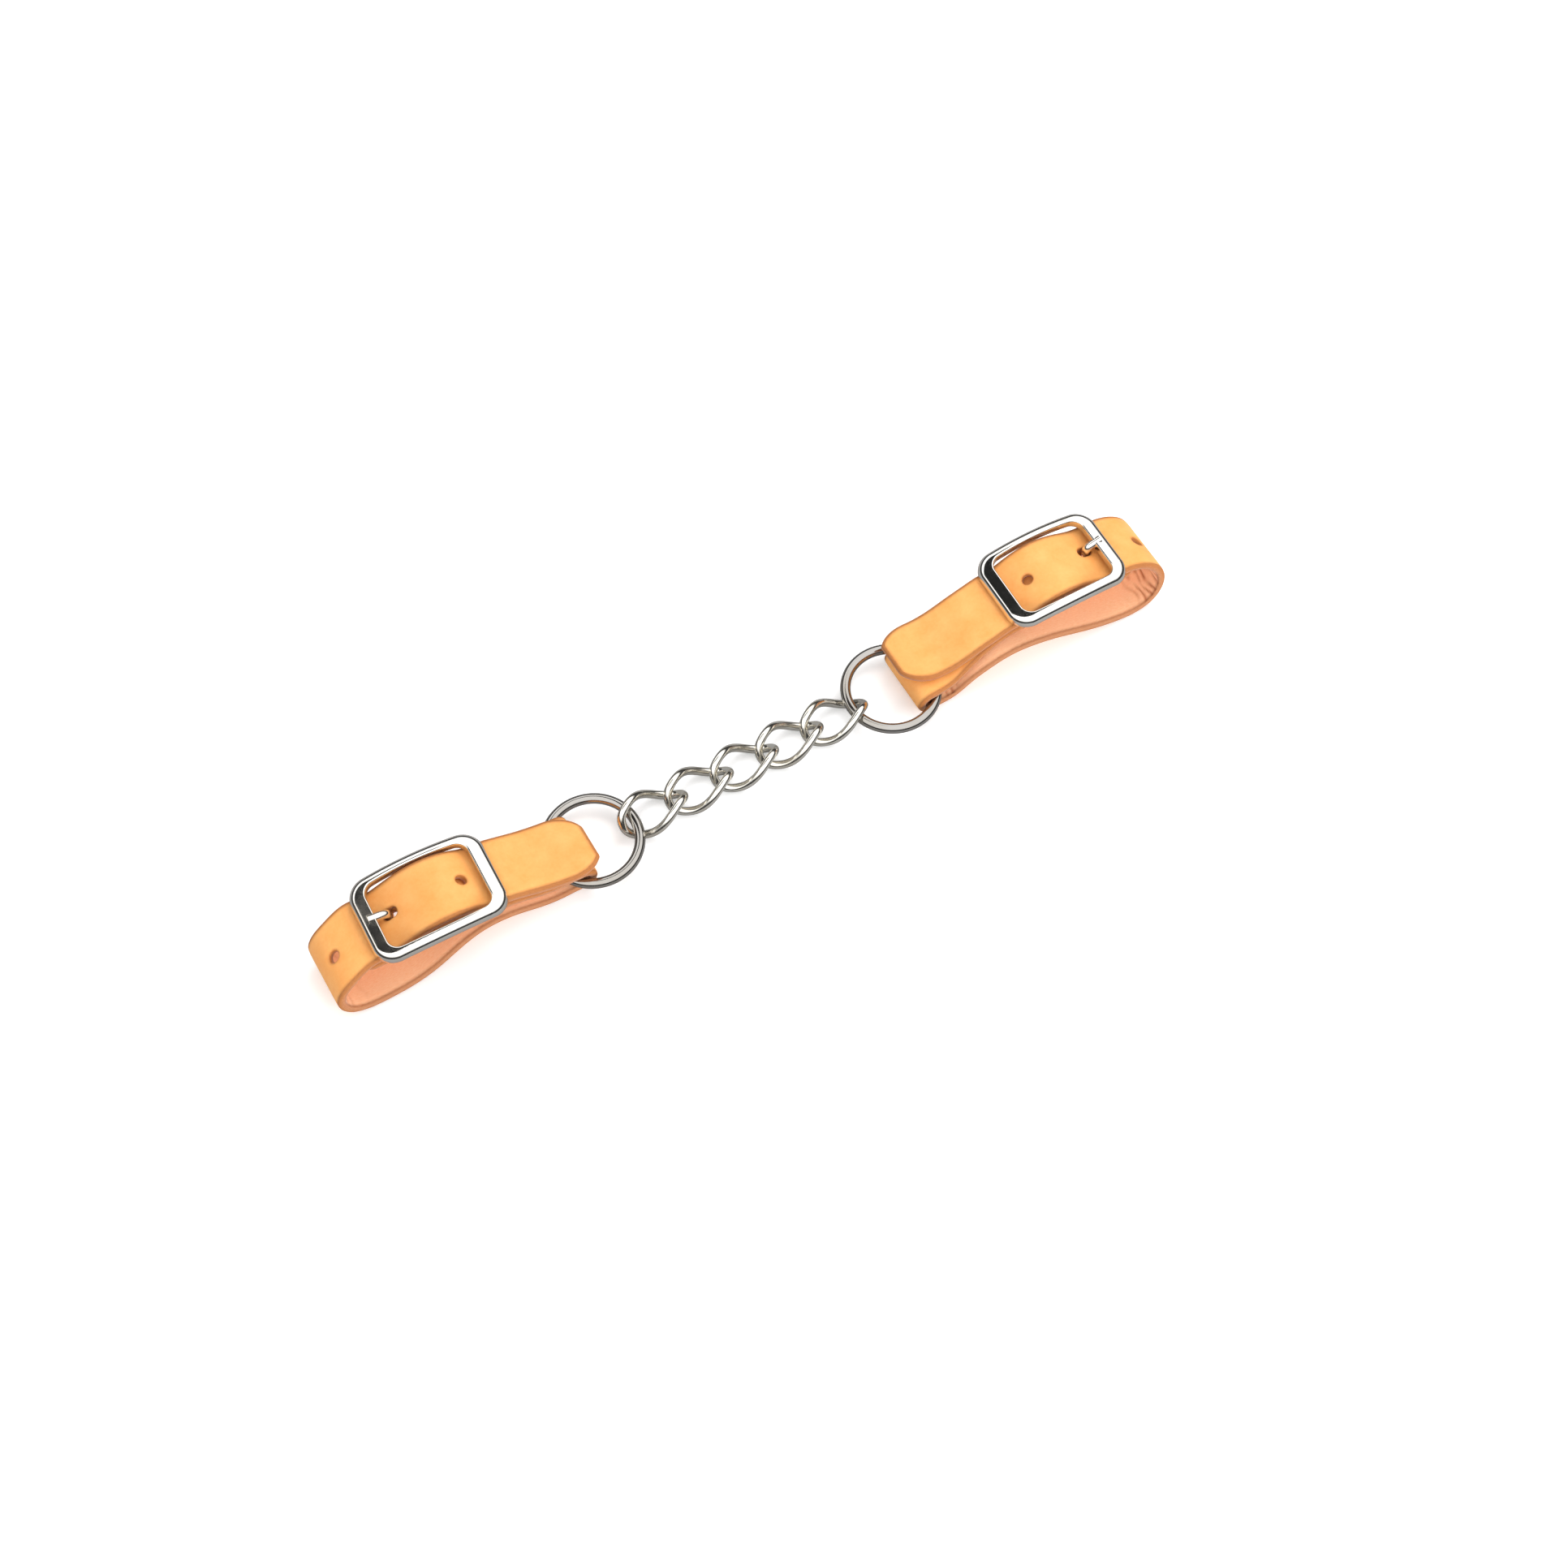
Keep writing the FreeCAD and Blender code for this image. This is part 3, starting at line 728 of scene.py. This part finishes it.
def leather_material():
    """Oiled natural leather: smooth pored grain side, fibrous flesh side, burnished brown edges."""
    s = Shader("leather")
    place = s.node("ShaderNodeCombineXYZ", {
        "X": s.attribute("distance_mm"), "Y": s.attribute("across_mm"),
        "Z": s.times(s.attribute("flesh"), FLESH_OFFSET),
    }).outputs[0]
    flesh = s.stretch(s.attribute("flesh"), *FLESH_SWITCH)
    fine = s.stretch(s.noise(place, FINE_SCALE, 4.0, 0.6), 0.3, 0.7)
    fibre = s.stretch(s.noise(s.scaled(place, FIBRE_STRETCH), FIBRE_SCALE, 8.0, 0.7), 0.3, 0.7)
    roughness = s.plus(s.stretch(fine, 0.0, 1.0, *GRAIN_ROUGHNESS), s.times(flesh, FLESH_ROUGHER))
    skin = s.node("ShaderNodeBsdfPrincipled", {
        "Base Color": leather_colour(s, place, flesh, fine, fibre),
        "Roughness": roughness,
        "Normal": leather_relief(s, place, flesh, fine, fibre),
        "Specular IOR Level": 0.35,
        "Sheen Weight": s.times(flesh, FLESH_SHEEN),
        "Coat Weight": s.maths("SUBTRACT", GRAIN_COAT, s.times(flesh, GRAIN_COAT)),
        "Coat Roughness": 0.35,
        "Subsurface Weight": 0.06,
        "Subsurface Radius": (0.0012, 0.0006, 0.0003),
        "Subsurface Scale": 1.0,
    })
    return s.finish(skin.outputs[0])


# ---- nickel ----
# Word in the node's name, then the finish: name, tint, roughness where clean, and noise scale of the
# tarnish patches (larger is finer).
NICKEL = {
    "link": ("nickel_chain", (0.90, 0.87, 0.80), 0.10, 140.0),
    "ring": ("nickel_ring", (0.45, 0.432, 0.41), 0.09, 90.0),
    "buckle": ("nickel_buckle", (0.88, 0.86, 0.82), 0.08, 70.0),
}
TARNISH_TINT = (0.86, 0.80, 0.70)    # what tarnish leaves of the metal's colour
TARNISH_DEPTH = 0.55
TARNISH_ROUGHER = 0.09
SCRATCH_STRETCH = (1.0, 6.0, 6.0)
SCRATCH_TURN = (0.3, 0.2, 0.6)
SCRATCH_SCALE = 900.0
SCRATCH_ROUGHER = 0.08
RIPPLE_SCALE = 160.0


def nickel_material(name, tint, rough, tarnish_scale):
    """Polished nickel plate: faint hand scratches, handling haze and warm tarnish in patches."""
    s = Shader(name)
    place = s.object_place()
    haze = s.stretch(s.noise(place, tarnish_scale, 4.0, 0.6), 0.42, 0.72)
    warm = [part * left for part, left in zip(tint, TARNISH_TINT)]
    colour = s.blend(s.times(haze, TARNISH_DEPTH), (*tint, 1), (*warm, 1))
    hair = s.noise(s.scaled(place, SCRATCH_STRETCH, SCRATCH_TURN), SCRATCH_SCALE, 3.0, 0.7)
    scratch = s.stretch(hair, 0.62, 0.70)
    hazy = s.stretch(haze, 0.0, 1.0, rough, rough + TARNISH_ROUGHER)
    normal = s.bump(s.noise(place, RIPPLE_SCALE, 2.0, 0.5), 0.10, 0.00004)
    normal = s.bump(scratch, 0.05, 0.00001, normal)
    metal = s.node("ShaderNodeBsdfPrincipled", {
        "Base Color": colour, "Metallic": 1.0, "Normal": normal,
        "Roughness": s.plus(hazy, s.times(scratch, SCRATCH_ROUGHER)),
    })
    return s.finish(metal.outputs[0])


def dress_nodes():
    """Puts nickel on the chain's links, the rings and the buckles."""
    finishes = {kind: nickel_material(*finish) for kind, finish in NICKEL.items()}
    for node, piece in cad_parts.items():
        for kind, material in finishes.items():
            if kind in node:
                for slot in piece.material_slots:
                    slot.material = material


# ---- studio ----
FLOOR_PAINTED_GLOW = 0.22        # painted light: a glow that only the camera sees, lifting the shadows on the floor
BACKDROP_WHITE = 1.1     # the studio behind the piece, straight to the camera
STUDIO_WHITE = 0.8       # its even soft light
CEILING_WHITE = 1.52     # the lit ceiling that the metal sees
HORIZON_GREY = 0.05      # what the metal sees low down all round
HORIZON_LOW = 0.38       # height, as a share of straight up, where the dark surround ends
HORIZON_HIGH = 0.60
OPENING_MIDDLE = (-0.18, 0.40)   # the dark opening overhead, as (x, y) of the way towards it
OPENING_REACH = (0.46, 0.15)     # half its length and width in the same terms
OPENING_EDGE = (0.75, 1.15)      # where its soft edge starts and ends, as shares of the reach squared
OPENING_GREY = 0.012
FLOOR_WHITES = ((0.93, 0.93, 0.93, 1), (0.95, 0.95, 0.95, 1))
FLOOR_REFLECTED_DARK = (0.10, 0.10, 0.10, 1)   # painted reflection: the dark floor colour that only glossy rays see
FLOOR_REFLECTED_DARK_SHARE = 0.75
FLOOR_TOOTH_SCALE = 30.0
FLOOR_SIZE = 3.0
FLOOR_CLEARANCE = 0.00005


def floor_material():
    """Pale matt floor, with a painted glow for the camera that lifts its shadows. Metal sees it darker:
    a painted reflection, the floor coloured dark for glossy rays only.
    """
    s = Shader("floor_paper")
    tooth = s.stretch(s.noise(s.object_place(), FLOOR_TOOTH_SCALE, 4.0, 0.6), 0.3, 0.7)
    white = s.blend(tooth, *FLOOR_WHITES)
    # painted reflection: glossy rays see the floor dark
    colour = s.blend(s.times(s.ray_is("Glossy"), FLOOR_REFLECTED_DARK_SHARE), white, FLOOR_REFLECTED_DARK)
    paper = s.node("ShaderNodeBsdfDiffuse", {"Color": colour})
    # painted light: the floor glows for the camera only, which lifts its cast shadows
    painted_glow = s.node("ShaderNodeEmission", {
        "Color": white, "Strength": s.times(s.ray_is("Camera"), FLOOR_PAINTED_GLOW),
    })
    both = s.node("ShaderNodeAddShader", {0: paper.outputs[0], 1: painted_glow.outputs[0]})
    return s.finish(both.outputs[0])


def build_floor():
    mesh = bpy.data.meshes.new("floor")
    shape = bmesh.new()
    bmesh.ops.create_grid(shape, x_segments=2, y_segments=2, size=FLOOR_SIZE)
    shape.to_mesh(mesh)
    shape.free()
    mesh.materials.append(floor_material())
    floor = bpy.data.objects.new("floor", mesh)
    floor.location.z = CAD_BOX[0].z - FLOOR_CLEARANCE
    bpy.context.scene.collection.objects.link(floor)


def build_world():
    """Even pale studio; the metal also sees its dark surround and one dark opening overhead."""
    world = bpy.data.worlds.new("studio")
    bpy.context.scene.world = world
    w = Nodes(world)
    toward = w.node("ShaderNodeTexCoord").outputs["Generated"]
    sky = w.node("ShaderNodeSeparateXYZ", {"Vector": toward}).outputs
    surround = w.stretch(sky["Z"], HORIZON_LOW, HORIZON_HIGH, HORIZON_GREY, CEILING_WHITE, "SMOOTHSTEP")
    squares = []
    for axis, middle, reach in zip("XY", OPENING_MIDDLE, OPENING_REACH):
        share = w.maths("MULTIPLY_ADD", sky[axis], 1 / reach, -middle / reach)
        squares.append(w.times(share, share))
    opening = w.stretch(w.plus(*squares), *OPENING_EDGE, OPENING_GREY, 1.0, "SMOOTHSTEP")
    strength = w.between(w.ray_is("Glossy"), STUDIO_WHITE, w.times(surround, opening))
    strength = w.between(w.ray_is("Camera"), strength, BACKDROP_WHITE)
    back = w.node("ShaderNodeBackground", {"Color": (1, 1, 1, 1), "Strength": strength})
    w.output("ShaderNodeOutputWorld", back.outputs[0])


# Each softbox: place, size and power. All face the origin, and no reflection shows them.
SOFTBOXES = {
    "key": ((0.45, 0.35, 0.75), (0.6, 0.6), 4.0),
    "front": ((0.15, -0.75, 0.32), (0.9, 0.4), 6.0),
}


def add_softbox(name, place, size, power):
    light = bpy.data.lights.new(name, "AREA")
    light.shape = "RECTANGLE"
    light.size, light.size_y = size
    light.energy = power
    box = bpy.data.objects.new(name, light)
    box.location = place
    box.visible_glossy = False
    box.rotation_euler = (-Vector(place)).to_track_quat("-Z", "Y").to_euler()
    bpy.context.scene.collection.objects.link(box)


def build_lights():
    for name, (place, size, power) in SOFTBOXES.items():
        add_softbox(name, place, size, power)


# ---- camera ----
CAMERA_AZIMUTH = -30.0
CAMERA_ELEVATION = 62.0
CAMERA_DISTANCE = 0.640
CAMERA_TARGET = Vector((0, 0, 0.003))
CAMERA_LENS = 54.46      # millimetres
CAMERA_SENSOR = 36.0
CAMERA_SHIFT = (0.0254, -0.0119)


def build_camera():
    azimuth = math.radians(CAMERA_AZIMUTH)
    elevation = math.radians(CAMERA_ELEVATION)
    back = Vector((math.sin(azimuth) * math.cos(elevation),
                   -math.cos(azimuth) * math.cos(elevation), math.sin(elevation)))
    data = bpy.data.cameras.new("camera")
    data.sensor_width = CAMERA_SENSOR
    data.lens = CAMERA_LENS
    data.shift_x, data.shift_y = CAMERA_SHIFT
    data.clip_start = 0.01
    data.clip_end = 20.0
    camera = bpy.data.objects.new("camera", data)
    camera.location = CAMERA_TARGET + back * CAMERA_DISTANCE
    camera.rotation_euler = (-back).to_track_quat("-Z", "Y").to_euler()
    bpy.context.scene.collection.objects.link(camera)
    bpy.context.scene.camera = camera


def main():
    leather = leather_material()
    for end in (LEFT, RIGHT):
        build_strap(end, leather)
    dress_nodes()
    build_floor()
    build_world()
    build_lights()
    build_camera()
    bpy.context.scene.view_settings.view_transform = "Standard"


main()
